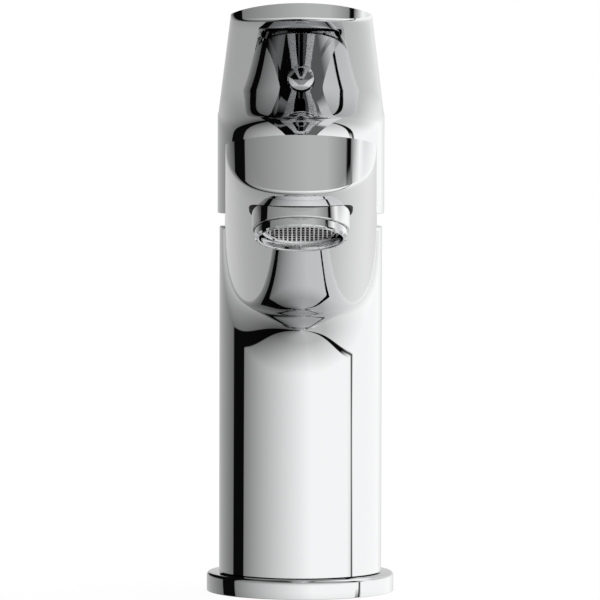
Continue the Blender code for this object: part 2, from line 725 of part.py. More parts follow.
def cartridge_housing():
    """Upper plastic half: skirt round the discs, shoulder, seal groove and neck."""
    _, fixed, _, _ = cartridge_levels()
    outer = CHAMBER_RADIUS - GAP
    groove = outer - 2.0 * SEAL_RING
    groove_low = SEAL_HEIGHT - SEAL_RING - GAP
    groove_high = SEAL_HEIGHT + SEAL_RING + GAP
    flange_bore = TURN_RADIUS + GAP
    neck_bore = STEM_CARRIER_RADIUS + GAP
    turned("cartridge_housing", [
        (neck_bore, NECK_TOP), (NECK_RADIUS, NECK_TOP), (NECK_RADIUS, SHOULDER_HEIGHT),
        (outer, SHOULDER_HEIGHT), (outer, groove_high), (groove, groove_high),
        (groove, groove_low), (outer, groove_low), (outer, HOUSING_STEP + MM),
        (CARTRIDGE_LOWER_RADIUS, HOUSING_STEP), (CARTRIDGE_LOWER_RADIUS, fixed),
        (HOUSING_INNER_RADIUS, fixed), (HOUSING_INNER_RADIUS, HOUSING_STEP),
        (flange_bore, HOUSING_STEP), (flange_bore, FLANGE_TOP + GAP), (neck_bore, FLANGE_TOP + GAP)],
        PLASTIC, ring=True)


def round_seal(name, centre_radius, height, thickness):
    """An O-ring."""
    sides = 10
    outline = [(centre_radius + thickness * math.cos(-2.0 * math.pi * side / sides),
                height + thickness * math.sin(-2.0 * math.pi * side / sides)) for side in range(sides)]
    turned(name, outline, RUBBER, ring=True)


def stem_carrier():
    """Turns in the housing: flange, slotted barrel for the stem, and a cross hole for the pin."""
    _, _, _, carrier = cartridge_levels()
    low = carrier + CARRIER_PLATE + 1.5 * GAP
    obj = turned("stem_carrier", [
        (0.0, STEM_CARRIER_TOP), (STEM_CARRIER_RADIUS, STEM_CARRIER_TOP),
        (STEM_CARRIER_RADIUS, FLANGE_TOP), (TURN_RADIUS, FLANGE_TOP), (TURN_RADIUS, low), (0.0, low)],
        PLASTIC)
    tower_top = PIVOT_HEIGHT - BALL_DROP + BALL_RADIUS
    slot_side = STEM_SIDE / 2.0 + 1.3 * GAP
    slot = block("stem_slot", (-slot_side, -stem_swing(-STEM_SHOULDER) - GAP, low - OVERRUN),
                 (slot_side, stem_swing(STEM_CARRIER_TOP - PIVOT_HEIGHT) + GAP, STEM_CARRIER_TOP + OVERRUN))
    travel = BALL_DROP * math.radians(LIFT_ANGLE)
    room = block("tower_room", (-TOWER_SIDE - GAP, -TOWER_DEPTH - travel - GAP, low - OVERRUN),
                 (TOWER_SIDE + GAP, TOWER_DEPTH + GAP, tower_top + 2.0 * GAP))
    cut(obj, slot, room, pin_hole("carrier_pin_hole"))


def stem_swing(height):
    """How far the square stem's edge gets from the axis when it tilts, at a height from the pivot."""
    tilt = math.radians(LIFT_ANGLE)
    half = STEM_SIDE / 2.0
    return half / math.cos(tilt) + abs(height) * math.tan(tilt)


def pin_hole(name):
    hole = rod(name, PIN_RADIUS + GAP, -BODY_RADIUS, BODY_RADIUS)
    hole.location = (0.0, 0.0, PIVOT_HEIGHT)
    hole.rotation_euler = (0.0, math.radians(90.0), 0.0)
    return hole


def pivot_pin():
    half = STEM_CARRIER_RADIUS - 2.0 * GAP
    pin = rod("pivot_pin", PIN_RADIUS, -half, half, STEEL)
    pin.location = (0.0, 0.0, PIVOT_HEIGHT)
    pin.rotation_euler = (0.0, math.radians(90.0), 0.0)


def stem():
    """Square stem with a round neck and a ball at its lower end. Its origin is on the pivot."""
    side = STEM_SIDE / 2.0
    obj = block("stem", (-side, -side, -STEM_SHOULDER), (side, side, STEM_TOP - PIVOT_HEIGHT), STEEL)
    obj.location = (0.0, 0.0, PIVOT_HEIGHT)
    ball = [(BALL_RADIUS * math.sin(math.pi * step / (2 * DOME_STEPS)),
             -BALL_DROP + BALL_RADIUS * math.cos(math.pi * step / (2 * DOME_STEPS)))
            for step in range(2 * DOME_STEPS + 1)]
    neck = [point for point in ball if point[0] > STEM_NECK or point[1] < -BALL_DROP]
    end = turned("stem_end", [(0.0, -STEM_SHOULDER + MM), (STEM_NECK, -STEM_SHOULDER + MM)] + neck,
                 steps=HOLE_STEPS)
    end.location = obj.location
    join(obj, end)
    cut(obj, pin_hole("stem_pin_hole"))


def locknut():
    """Ring nut with spanner notches."""
    low = SHOULDER_HEIGHT + GAP
    high = low + NUT_HEIGHT
    inner = NECK_RADIUS + GAP
    obj = turned("locknut", [
        (inner, high), (NUT_RADIUS - BODY_EDGE, high), (NUT_RADIUS, high - BODY_EDGE),
        (NUT_RADIUS, low), (inner, low)], BRASS, ring=True)
    notch = (4.0 * MM, 5.0 * MM, 5.0 * MM)
    cut(obj, many("nut_notches", [(notch, (0.0, NUT_RADIUS, high), 2.0 * math.pi * index / NUT_NOTCHES)
                                  for index in range(NUT_NOTCHES)]))


def cover_dome():
    """Domed cover, round about the pivot so that the cap tilts over it."""
    foot = BODY_TOP + GAP
    spigot_low = SHOULDER_HEIGHT + 2.0 * GAP + NUT_HEIGHT

    def arc(radius, steps):
        low = math.asin((foot - PIVOT_HEIGHT + BODY_TOP - foot + 3.0 * GAP) / radius)
        high = math.acos(DOME_OPENING / DOME_RADIUS)
        return [(radius * math.cos(low + (high - low) * step / steps),
                 PIVOT_HEIGHT + radius * math.sin(low + (high - low) * step / steps))
                for step in range(steps + 1)]

    outer = arc(DOME_RADIUS, DOME_STEPS)[::-1]
    inner = arc(DOME_RADIUS - DOME_WALL, DOME_STEPS)
    spigot_in = NUT_RADIUS - DOME_SPIGOT
    outer_foot = outer[-1][0]
    turned("cover_dome", outer + [(outer_foot, foot), (NUT_RADIUS, foot), (NUT_RADIUS, spigot_low),
                                  (spigot_in, spigot_low), (spigot_in, foot)] + inner,
           CHROME, ring=True, steps=ROUND_STEPS)


def handle():
    """The casting: cap, lever, stem boss and screw rib. Its origin is on the pivot."""
    skirt = BODY_TOP + CAP_GAP
    above = LEVER.top(LEVER_REACH)
    obj = turned("handle", [
        (0.0, above), (CAP_RADIUS, above), (CAP_RADIUS, skirt + CAP_EDGE),
        (CAP_RADIUS - CAP_EDGE, skirt), (0.0, skirt)], CHROME, steps=ROUND_STEPS)
    join(obj, skin("lever_form", LEVER.rows(OVERRUN)))
    cavity = rod("cap_cavity", CAP_RADIUS - CAP_WALL, skirt - OVERRUN, above, steps=ROUND_STEPS)
    cut(cavity, slab_above("cap_ceiling", LEVER, drop=CAP_ROOF))
    cut(obj, cavity)
    boss = rod("stem_boss", BOSS_RADIUS, BOSS_BOTTOM, above, steps=INNER_STEPS)
    rib_end = -CAP_RADIUS + CAP_WALL / 2.0
    rib = block("screw_rib", (-RIB_WIDTH / 2.0, rib_end, BOSS_BOTTOM + RIB_LIFT),
                (RIB_WIDTH / 2.0, -BOSS_RADIUS / 2.0, above))
    join(obj, boss, rib)
    half = STEM_SIDE / 2.0 + SOCKET_CLEARANCE
    socket = block("stem_socket", (-half, -half, BOSS_BOTTOM - OVERRUN), (half, half, STEM_TOP + GAP))
    cut(obj, slab_above("cap_top", LEVER), socket, screw_hole(), skirt_relief())


def screw_hole():
    """Threaded near the stem, wider out to the cap's front for the plug."""
    wide_start = screw_start() + SCREW_LENGTH + GAP
    length = CAP_RADIUS + OVERRUN
    hole = turned("screw_hole", [
        (0.0, length), (PLUG_SHANK + GAP, length), (PLUG_SHANK + GAP, wide_start),
        (SCREW_RADIUS + GAP, wide_start), (SCREW_RADIUS + GAP, STEM_SIDE / 2.0), (0.0, STEM_SIDE / 2.0)],
        steps=HOLE_STEPS)
    return face_front(hole)


def screw_start():
    return STEM_SIDE / 2.0 + GAP


def face_front(obj):
    """Lay a turned piece's axis along -Y at the screw's height."""
    obj.location = (0.0, 0.0, SCREW_HEIGHT)
    obj.rotation_euler = (math.radians(90.0), 0.0, 0.0)
    return obj


def skirt_relief():
    """Take off what would come under the lift clearance at the rear when the lever is fully up."""
    size = 3.0 * CAP_RADIUS
    top = BODY_TOP + LIFT_CLEARANCE - PIVOT_HEIGHT
    obj = block("skirt_relief", (-size, -size, top - size), (size, size, top))
    obj.location = (0.0, 0.0, PIVOT_HEIGHT)
    obj.rotation_euler = (math.radians(LIFT_ANGLE), 0.0, 0.0)
    return obj


def grub_screw():
    """Grub screw with a hexagon socket."""
    start = screw_start()
    obj = face_front(turned("grub_screw", [
        (0.0, start + SCREW_LENGTH), (SCREW_RADIUS, start + SCREW_LENGTH), (SCREW_RADIUS, start + MM),
        (SCREW_RADIUS / 2.0, start), (0.0, start)], STEEL, steps=HOLE_STEPS))
    key = rod("key_socket", SCREW_RADIUS / 2.0, start + SCREW_LENGTH - 3.0 * MM,
              start + SCREW_LENGTH + MM, steps=6)
    cut(obj, face_front(key))


def index_plug():
    """Domed plug over the screw, in the cap's front."""
    face = CAP_RADIUS + GAP
    dome = [(PLUG_RADIUS * math.sin(math.pi * step / (2 * DOME_STEPS)),
             face + PLUG_RADIUS * math.cos(math.pi * step / (2 * DOME_STEPS)))
            for step in range(DOME_STEPS + 1)]
    face_front(turned("index_plug", dome + [
        (PLUG_SHANK, face), (PLUG_SHANK, face - PLUG_SHANK_LENGTH), (0.0, face - PLUG_SHANK_LENGTH)],
        CHROME, steps=INNER_STEPS))


def shade_round():
    """Smooth shading, with real edges kept sharp."""
    for obj in PARTS.objects:
        obj.data.shade_smooth()
        obj.data.set_sharp_from_angle(angle=math.radians(35.0))


def build():
    base_ring()
    base_gasket()
    body()
    aerator_housing()
    aerator_insert()
    aerator_mesh()
    aerator_washer()
    aerator_screen()
    cartridge_base()
    inlet_seals()
    fixed_disc()
    moving_disc()
    disc_carrier()
    cartridge_housing()
    round_seal("cartridge_oring", CHAMBER_RADIUS - GAP - SEAL_RING, SEAL_HEIGHT, SEAL_RING)
    stem_carrier()
    pivot_pin()
    stem()
    locknut()
    cover_dome()
    handle()
    grub_screw()
    index_plug()
    shade_round()


build()
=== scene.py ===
import math

import bmesh
import bpy
from mathutils import Matrix, Vector


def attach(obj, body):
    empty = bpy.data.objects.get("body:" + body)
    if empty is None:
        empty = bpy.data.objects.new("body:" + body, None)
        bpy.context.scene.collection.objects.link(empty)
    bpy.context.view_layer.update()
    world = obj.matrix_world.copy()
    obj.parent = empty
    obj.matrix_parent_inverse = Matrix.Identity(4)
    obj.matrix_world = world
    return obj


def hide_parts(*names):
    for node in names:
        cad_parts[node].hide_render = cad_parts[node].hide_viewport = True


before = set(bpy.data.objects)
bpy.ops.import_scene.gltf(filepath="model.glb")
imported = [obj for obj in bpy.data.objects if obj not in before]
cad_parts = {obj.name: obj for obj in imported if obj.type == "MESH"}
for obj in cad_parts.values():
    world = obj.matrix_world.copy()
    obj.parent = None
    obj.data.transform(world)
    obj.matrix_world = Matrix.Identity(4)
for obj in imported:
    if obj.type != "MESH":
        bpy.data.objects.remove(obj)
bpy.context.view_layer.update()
print("frame loaded")

mm = 0.001


# The photograph's view: a long lens, a little above the spout, turned very slightly.
view = {
    "distance": 1.350,
    "height": 0.14675,
    "lookDown": 2.579,
    "roll": 0.135,
    "side": -0.0002,
    "focalPixels": 4572.5,
    "frameWidth": 600.0,
    "sensor": 36.0,
    "nearest": 0.05,
    "farthest": 20.0,
}


def addCamera():
    camera = bpy.data.cameras.new("camera")
    camera.sensor_width = view["sensor"]
    camera.lens = view["sensor"] * view["focalPixels"] / view["frameWidth"]
    camera.clip_start = view["nearest"]
    camera.clip_end = view["farthest"]
    holder = bpy.data.objects.new("camera", camera)
    bpy.context.scene.collection.objects.link(holder)
    tilt = Matrix.Rotation(math.radians(90.0 - view["lookDown"]), 4, "X")
    roll = Matrix.Rotation(math.radians(view["roll"]), 4, "Z")
    place = Matrix.Translation((view["side"], -view["distance"], view["height"]))
    holder.matrix_world = place @ tilt @ roll
    bpy.context.scene.camera = holder


addCamera()
bpy.context.scene.view_settings.view_transform = "Standard"
print("camera placed")


def nodeAt(tree, kind, x, y, **values):
    node = tree.nodes.new(kind)
    node.location = (x, y)
    for key, value in values.items():
        setattr(node, key, value)
    return node


def feed(tree, socket, value):
    # A number is set on the socket, an output is linked to it.
    if isinstance(value, (int, float)):
        socket.default_value = value
    else:
        tree.links.new(value, socket)


def mathNode(tree, operation, x, y, *values):
    node = nodeAt(tree, "ShaderNodeMath", x, y, operation=operation)
    for socket, value in zip(node.inputs, values):
        feed(tree, socket, value)
    return node.outputs[0]


def mixedColour(tree, x, y, factor, first, second):
    node = nodeAt(tree, "ShaderNodeMix", x, y, data_type="RGBA")
    tree.links.new(factor, node.inputs["Factor"])
    tree.links.new(first, node.inputs[6])
    tree.links.new(second, node.inputs[7])
    return node.outputs[2]


def mixedShader(tree, x, y, factor, first, second):
    node = nodeAt(tree, "ShaderNodeMixShader", x, y)
    for socket, value in zip(node.inputs, (factor, first, second)):
        feed(tree, socket, value)
    return node.outputs[0]


def fadeBetween(tree, x, y, angle, span, start=0.0, end=1.0):
    # From start to end as the angle passes along the span, which is in degrees.
    node = nodeAt(tree, "ShaderNodeMapRange", x, y, clamp=True)
    tree.links.new(angle, node.inputs["Value"])
    node.inputs["From Min"].default_value = math.radians(span[0])
    node.inputs["From Max"].default_value = math.radians(span[1])
    node.inputs["To Min"].default_value = start
    node.inputs["To Max"].default_value = end
    return node.outputs[0]


# Light: a soft studio all round, brighter on the right, with a dark panel at each side.
# Azimuths are in degrees from the front and grow to the right; a span of heights is in degrees too.
studio = {
    "white": 1.30,
    "leftGrey": 0.27,
    "behind": 0.66,
    "behindLeft": (0.21, 0.52),  # next to the left panel, and further back
    "black": 0.004,
    "softEdge": 0.4,
    "panelLeft": (-110.0, -88.0),
    "panelRight": (77.0, 79.4),
    "panelRightLow": (72.0, 80.8),
    "panelRightHigh": (68.5, 76.7),
    "backLeftAt": -155.0,
    "whiteAt": 15.0,
    "backRightAt": 142.0,
    "highSpan": (2.0, 9.0),  # above the horizon
    "highBack": (-170.0, -165.0),
    "highFront": 0.63,
    "highFrontAt": (10.0, 38.0),
    "highRight": 0.34,
    "highWhiteAt": 93.0,
    "highSide": 0.85,
    "highSideAt": 104.0,
    "lowSpan": (-4.0, -20.0),  # below the horizon
    "groundShare": 0.50,
    "groundSpan": (-8.0, -62.0),
    "ceiling": 0.24,
    "ceilingLeft": (-100.0, -75.0),
    "ceilingBars": ((-60.0, -12.0), (-6.0, 8.0)),
    "ceilingRight": (60.0, 90.0),
    "ceilingSpan": (38.0, 42.0),
}


def azimuthRamp(tree, x, y, turnOutput, stops):
    ramp = nodeAt(tree, "ShaderNodeValToRGB", x, y)
    elements = ramp.color_ramp.elements
    for index, (angle, level) in enumerate(stops):
        position = (angle + 180.0) / 360.0
        if index < 2:
            element = elements[index]
            element.position = position
        else:
            element = elements.new(position)
        element.color = (level, level, level, 1.0)
    tree.links.new(turnOutput, ramp.inputs[0])
    return ramp.outputs[0]


def wallStops(panelRight):
    # Round the horizon: a grey side and a white side, each with its dark panel.
    s = studio
    edge = s["softEdge"]
    low, high = s["panelLeft"]
    near, far = panelRight
    return [
        (-180.0, s["behind"]), (s["backLeftAt"], s["behindLeft"][1]), (low - edge, s["behindLeft"][0]),
        (low, s["black"]), (high - edge, s["black"]), (high, s["leftGrey"]), (s["whiteAt"], s["white"]),
        (near, s["white"]), (near + edge, s["black"]), (far - edge, s["black"]), (far, s["white"]),
        (s["backRightAt"], s["white"]), (180.0, s["behind"])]


def highStops():
    # Above it: dark on the left as far as the back, and less bright on the right.
    s = studio
    edge = s["softEdge"]
    high = s["panelLeft"][1]
    near, far = s["panelRightHigh"]
    frontFrom, frontTo = s["highFrontAt"]
    return [
        (-180.0, s["behind"]), (s["highBack"][0], s["behindLeft"][1]), (s["highBack"][1], s["black"]),
        (high - edge, s["black"]), (high, s["leftGrey"]), (frontFrom, s["highFront"]),
        (frontTo, s["highFront"]), (near, s["highRight"]), (near + 2.0 * edge, s["black"]),
        (far, s["black"]), (far + edge, s["leftGrey"]), (s["highWhiteAt"], s["white"]),
        (s["highSideAt"], s["highSide"]), (s["backRightAt"], s["highSide"]), (180.0, s["behind"])]


def ceilingStops():
    s = studio
    edge = s["softEdge"]
    stops = [(s["ceilingLeft"][0], s["black"]), (s["ceilingLeft"][1], s["leftGrey"])]
    for start, end in s["ceilingBars"]:
        stops += [(start - edge, s["ceiling"]), (start, s["black"])]
        stops += [(end, s["black"]), (end + edge, s["ceiling"])]
    return stops + [(s["ceilingRight"][0], s["ceiling"]), (s["ceilingRight"][1], s["white"])]


def buildWorld():
    world = bpy.data.worlds.new("studio")
    bpy.context.scene.world = world
    world.use_nodes = True
    tree = world.node_tree
    tree.nodes.clear()
    where = nodeAt(tree, "ShaderNodeTexCoord", -1400, 0)
    parts = nodeAt(tree, "ShaderNodeSeparateXYZ", -1200, 0)
    tree.links.new(where.outputs["Generated"], parts.inputs[0])
    forward = mathNode(tree, "MULTIPLY", -1000, 200, parts.outputs[1], -1.0)
    azimuth = mathNode(tree, "ARCTAN2", -820, 200, parts.outputs[0], forward)
    turn = mathNode(tree, "MULTIPLY_ADD", -640, 200, azimuth, 1.0 / (2.0 * math.pi), 0.5)
    elevation = mathNode(tree, "ARCSINE", -820, -200, parts.outputs[2])
    level = azimuthRamp(tree, -420, 300, turn, wallStops(studio["panelRight"]))
    raised = azimuthRamp(tree, -420, 0, turn, highStops())
    overhead = azimuthRamp(tree, -420, -600, turn, ceilingStops())
    lowered = azimuthRamp(tree, -420, -1200, turn, wallStops(studio["panelRightLow"]))
    high = fadeBetween(tree, -420, -300, elevation, studio["highSpan"])
    above = fadeBetween(tree, -420, -900, elevation, studio["ceilingSpan"])
    low = fadeBetween(tree, -420, -1500, elevation, studio["lowSpan"])
    ground = fadeBetween(tree, -140, -500, elevation, studio["groundSpan"], 1.0, studio["groundShare"])
    colour = mixedColour(tree, -100, 200, high, level, raised)
    colour = mixedColour(tree, 0, 0, above, colour, overhead)
    colour = mixedColour(tree, 60, -200, low, colour, lowered)
    around = nodeAt(tree, "ShaderNodeBackground", 120, 200)
    tree.links.new(colour, around.inputs[0])
    tree.links.new(ground, around.inputs["Strength"])
    behind = nodeAt(tree, "ShaderNodeBackground", 120, 0)
    behind.inputs[0].default_value = (1.0, 1.0, 1.0, 1.0)
    path = nodeAt(tree, "ShaderNodeLightPath", 120, 500)
    seen = path.outputs["Is Camera Ray"]
    last = mixedShader(tree, 340, 200, seen, around.outputs[0], behind.outputs[0])
    out = nodeAt(tree, "ShaderNodeOutputWorld", 560, 200)
    tree.links.new(last, out.inputs[0])


buildWorld()
print("studio light ready")


# Floor: white to the camera with the tap's shadow on it, and out of the metal's way.
floor = {"size": 6.0, "drop": 0.2 * mm, "colour": 0.95, "glow": 0.88, "strength": 1.08}


def addFloor():
    half = floor["size"] / 2.0
    corners = [(-half, -half, 0.0), (half, -half, 0.0), (half, half, 0.0), (-half, half, 0.0)]
    mesh = bpy.data.meshes.new("floor")
    mesh.from_pydata(corners, [], [(0, 1, 2, 3)])
    plane = bpy.data.objects.new("floor", mesh)
    plane.location.z = -floor["drop"]
    bpy.context.scene.collection.objects.link(plane)
    material = bpy.data.materials.new("floor")
    material.use_nodes = True
    tree = material.node_tree
    tree.nodes.clear()
    matt = nodeAt(tree, "ShaderNodeBsdfDiffuse", -400, 0)
    matt.inputs[0].default_value = (floor["colour"], floor["colour"], floor["colour"], 1.0)
    glow = nodeAt(tree, "ShaderNodeEmission", -400, -200)
    glow.inputs["Strength"].default_value = floor["strength"]
    clear = nodeAt(tree, "ShaderNodeBsdfTransparent", 0, -200)
    path = nodeAt(tree, "ShaderNodeLightPath", -400, 400)
    shadowed = mixedShader(tree, -200, 0, floor["glow"], matt.outputs[0], glow.outputs[0])
    seen = mixedShader(tree, 0, 0, path.outputs["Is Camera Ray"], matt.outputs[0], shadowed)
    last = mixedShader(tree, 200, 0, path.outputs["Is Glossy Ray"], seen, clear.outputs[0])
    out = nodeAt(tree, "ShaderNodeOutputMaterial", 400, 0)
    tree.links.new(last, out.inputs[0])
    mesh.materials.append(material)


addFloor()
print("floor laid")


# Slow smudges and fine grain, shared by all the finishes.
wear = {
    "smooth": 0.03, "rough": 0.06, "smudgeScale": 60.0, "grainScale": 1400.0, "smudgeDetail": 3.0,
    "smudgeFrom": 0.35, "smudgeTo": 0.75, "grainHeight": 0.05 * mm,
}


def buildWearGroup():
    # The smudges come out as a roughness and the grain as a height.
    tree = bpy.data.node_groups.new("handledSurface", "ShaderNodeTree")
    face = tree.interface
    for name, start in (("Smooth", wear["smooth"]), ("Rough", wear["rough"]),
                        ("Smudge Scale", wear["smudgeScale"]), ("Grain Scale", wear["grainScale"])):
        face.new_socket(name=name, in_out="INPUT", socket_type="NodeSocketFloat").default_value = start
    for name in ("Roughness", "Height"):
        face.new_socket(name=name, in_out="OUTPUT", socket_type="NodeSocketFloat")
    inside = nodeAt(tree, "NodeGroupInput", -800, 0)
    where = nodeAt(tree, "ShaderNodeTexCoord", -800, -300)
    smudge = nodeAt(tree, "ShaderNodeTexNoise", -500, 100)
    smudge.inputs["Detail"].default_value = wear["smudgeDetail"]
    grain = nodeAt(tree, "ShaderNodeTexNoise", -500, -200)
    tree.links.new(where.outputs["Object"], smudge.inputs["Vector"])
    tree.links.new(where.outputs["Object"], grain.inputs["Vector"])
    tree.links.new(inside.outputs["Smudge Scale"], smudge.inputs["Scale"])
    tree.links.new(inside.outputs["Grain Scale"], grain.inputs["Scale"])
    spread = nodeAt(tree, "ShaderNodeMapRange", -200, 100)
    spread.inputs["From Min"].default_value = wear["smudgeFrom"]
    spread.inputs["From Max"].default_value = wear["smudgeTo"]
    tree.links.new(smudge.outputs[0], spread.inputs["Value"])
    tree.links.new(inside.outputs["Smooth"], spread.inputs["To Min"])
    tree.links.new(inside.outputs["Rough"], spread.inputs["To Max"])
    out = nodeAt(tree, "NodeGroupOutput", 100, 0)
    tree.links.new(spread.outputs[0], out.inputs["Roughness"])
    tree.links.new(grain.outputs[0], out.inputs["Height"])
    return tree


wearGroup = buildWearGroup()

finishes = {
    "chrome": {"colour": (0.690, 0.695, 0.700), "metal": 1.0, "smooth": 0.012, "rough": 0.030, "bump": 0.0},
    "satinSteel": {"colour": (0.62, 0.62, 0.61), "metal": 1.0, "smooth": 0.22, "rough": 0.34, "bump": 0.15},
    "wireSteel": {"colour": (0.80, 0.80, 0.79), "metal": 1.0, "smooth": 0.25, "rough": 0.40, "bump": 0.0},
    "brass": {"colour": (0.78, 0.60, 0.32), "metal": 1.0, "smooth": 0.22, "rough": 0.38, "bump": 0.2},
    "rubber": {"colour": (0.010, 0.010, 0.011), "metal": 0.0, "smooth": 0.60, "rough": 0.80, "bump": 0.3},
    "whitePlastic": {"colour": (0.80, 0.80, 0.78), "metal": 0.0, "smooth": 0.38, "rough": 0.52, "bump": 0.2},
    "greyPlastic": {"colour": (0.30, 0.30, 0.31), "metal": 0.0, "smooth": 0.38, "rough": 0.52, "bump": 0.2},
    "darkPlastic": {"colour": (0.06, 0.06, 0.065), "metal": 0.0, "smooth": 0.40, "rough": 0.55, "bump": 0.2},
    "ceramic": {"colour": (0.86, 0.84, 0.80), "metal": 0.0, "smooth": 0.12, "rough": 0.20, "bump": 0.0},
}


def makeFinish(name, values):
    material = bpy.data.materials.new(name)
    material.use_nodes = True
    tree = material.node_tree
    shader = tree.nodes["Principled BSDF"]
    shader.inputs["Base Color"].default_value = (*values["colour"], 1.0)
    shader.inputs["Metallic"].default_value = values["metal"]
    handled = nodeAt(tree, "ShaderNodeGroup", -500, 0, node_tree=wearGroup)
    handled.inputs["Smooth"].default_value = values["smooth"]
    handled.inputs["Rough"].default_value = values["rough"]
    handled.inputs["Smudge Scale"].default_value = wear["smudgeScale"]
    handled.inputs["Grain Scale"].default_value = wear["grainScale"]
    tree.links.new(handled.outputs["Roughness"], shader.inputs["Roughness"])
    if values["bump"]:
        bump = nodeAt(tree, "ShaderNodeBump", -250, -200)
        bump.inputs["Strength"].default_value = values["bump"]
        bump.inputs["Distance"].default_value = wear["grainHeight"]
        tree.links.new(handled.outputs["Height"], bump.inputs["Height"])
        tree.links.new(bump.outputs[0], shader.inputs["Normal"])
    return material


materials = {name: makeFinish(name, values) for name, values in finishes.items()}
cadFinish = {
    "base_gasket": "rubber", "aerator_washer": "rubber", "aerator_insert": "whitePlastic",
    "aerator_screen": "whitePlastic", "cartridge_base": "greyPlastic", "inlet_seal_hot": "rubber",
    "inlet_seal_cold": "rubber", "fixed_disc": "ceramic", "moving_disc": "ceramic",
    "disc_carrier": "darkPlastic", "cartridge_housing": "whitePlastic", "cartridge_oring": "rubber",
    "stem_carrier": "whitePlastic", "pivot_pin": "satinSteel", "stem": "satinSteel", "locknut": "brass",
    "grub_screw": "satinSteel", "cover_dome": "chrome", "aerator_housing": "chrome",
    "aerator_mesh": "wireSteel", "body": "chrome", "handle": "chrome", "base_ring": "chrome",
    "index_plug": "chrome",
}


def dressCad():
    for node, finish in cadFinish.items():
        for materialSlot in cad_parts[node].material_slots:
            materialSlot.material = materials[finish]


dressCad()
print("finishes ready")


def addPiece(name, mesh, finish, body, stands=()):
    mesh.name = name
    mesh.materials.clear()
    mesh.materials.append(materials[finish])
    piece = bpy.data.objects.new(name, mesh)
    bpy.context.scene.collection.objects.link(piece)
    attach(piece, body)
    if stands:
        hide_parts(*stands)


# For making meshes: how far a tool reaches past what it cuts or joins, and what counts as touching.
making = {"overrun": 3.0 * mm, "touching": 1e-6, "onAxis": 1e-7, "halvings": 48, "rimSteps": 4}


def meshOf(name, points, faces):
    mesh = bpy.data.meshes.new(name)
    mesh.from_pydata([tuple(point) for point in points], [], faces)
    mesh.validate()
    return mesh


def meshFrom(shape, name):
    mesh = bpy.data.meshes.new(name)
    shape.to_mesh(mesh)
    shape.free()
    return mesh


def turnedMesh(name, outline, steps, closed=False):
    # The outline is (radius, height) down its outer side; a point on the axis is shared.
    points = []
    rings = []
    for radius, height in outline:
        if radius < making["onAxis"]:
            rings.append([len(points)] * steps)
            points.append((0.0, 0.0, height))
            continue
        rings.append(list(range(len(points), len(points) + steps)))
        for step in range(steps):
            angle = 2.0 * math.pi * step / steps
            points.append((radius * math.cos(angle), radius * math.sin(angle), height))
    pairs = list(zip(rings, rings[1:]))
    if closed:
        pairs.append((rings[-1], rings[0]))
    faces = []
    for upper, lower in pairs:
        for step in range(steps):
            after = (step + 1) % steps
            corners = [upper[step], lower[step], lower[after], upper[after]]
            corners = list(dict.fromkeys(corners))
            if len(corners) > 2:
                faces.append(corners)
    return meshOf(name, points, faces)


def addBox(shape, size, centre):
    corners = bmesh.ops.create_cube(shape, size=1.0)["verts"]
    bmesh.ops.scale(shape, vec=size, verts=corners)
    bmesh.ops.translate(shape, vec=centre, verts=corners)
    return corners


def boxMesh(name, low, high):
    shape = bmesh.new()
    addBox(shape, Vector(high) - Vector(low), (Vector(low) + Vector(high)) / 2.0)
    return meshFrom(shape, name)


def moved(mesh, matrix):
    mesh.transform(matrix)
    return mesh


def combined(mesh, tools, operation):
    # Exact Booleans one after another, then a plain mesh again.
    holder = bpy.data.objects.new("work", mesh)
    bpy.context.scene.collection.objects.link(holder)
    helpers = []
    for tool in tools:
        helper = bpy.data.objects.new("tool", tool)
        bpy.context.scene.collection.objects.link(helper)
        helpers.append(helper)
        modifier = holder.modifiers.new("cut", "BOOLEAN")
        modifier.solver = "EXACT"
        modifier.operation = operation
        modifier.object = helper
    graph = bpy.context.evaluated_depsgraph_get()
    result = bpy.data.meshes.new_from_object(holder.evaluated_get(graph))
    for item in helpers + [holder]:
        bpy.data.objects.remove(item, do_unlink=True)
    return result


def joined(mesh, *tools):
    return combined(mesh, tools, "UNION")


def carved(mesh, *tools):
    return combined(mesh, tools, "DIFFERENCE")


def slicedBelow(mesh, height, angle):
    # Keep what is under a plane that rises towards the front, and close the cut.
    shape = bmesh.new()
    shape.from_mesh(mesh)
    slope = math.radians(angle)
    everything = shape.verts[:] + shape.edges[:] + shape.faces[:]
    cut = bmesh.ops.bisect_plane(shape, geom=everything, plane_co=(0.0, 0.0, height),
                                 plane_no=(0.0, math.sin(slope), math.cos(slope)), clear_outer=True)
    edges = [item for item in cut["geom_cut"] if isinstance(item, bmesh.types.BMEdge)]
    bmesh.ops.contextual_create(shape, geom=edges)
    bmesh.ops.recalc_face_normals(shape, faces=shape.faces)
    return meshFrom(shape, mesh.name)


def finishShading(mesh, sharpFrom=28.0):
    mesh.shade_smooth()
    mesh.set_sharp_from_angle(angle=math.radians(sharpFrom))
    return mesh


def solve(function, low, high):
    for _ in range(making["halvings"]):
        middle = (low + high) / 2.0
        if function(middle) < 0.0:
            low = middle
        else:
            high = middle
    return (low + high) / 2.0


def roundedRim(radius, height, edge, upper=True):
    # An outer corner in the outline's order; the height is that of the flat face beside it.
    points = []
    for step in range(making["rimSteps"] + 1):
        angle = math.pi / 2.0 * step / making["rimSteps"]
        if upper:
            points.append((radius - edge + edge * math.sin(angle), height - edge + edge * math.cos(angle)))
        else:
            points.append((radius - edge + edge * math.cos(angle), height + edge - edge * math.sin(angle)))
    return points


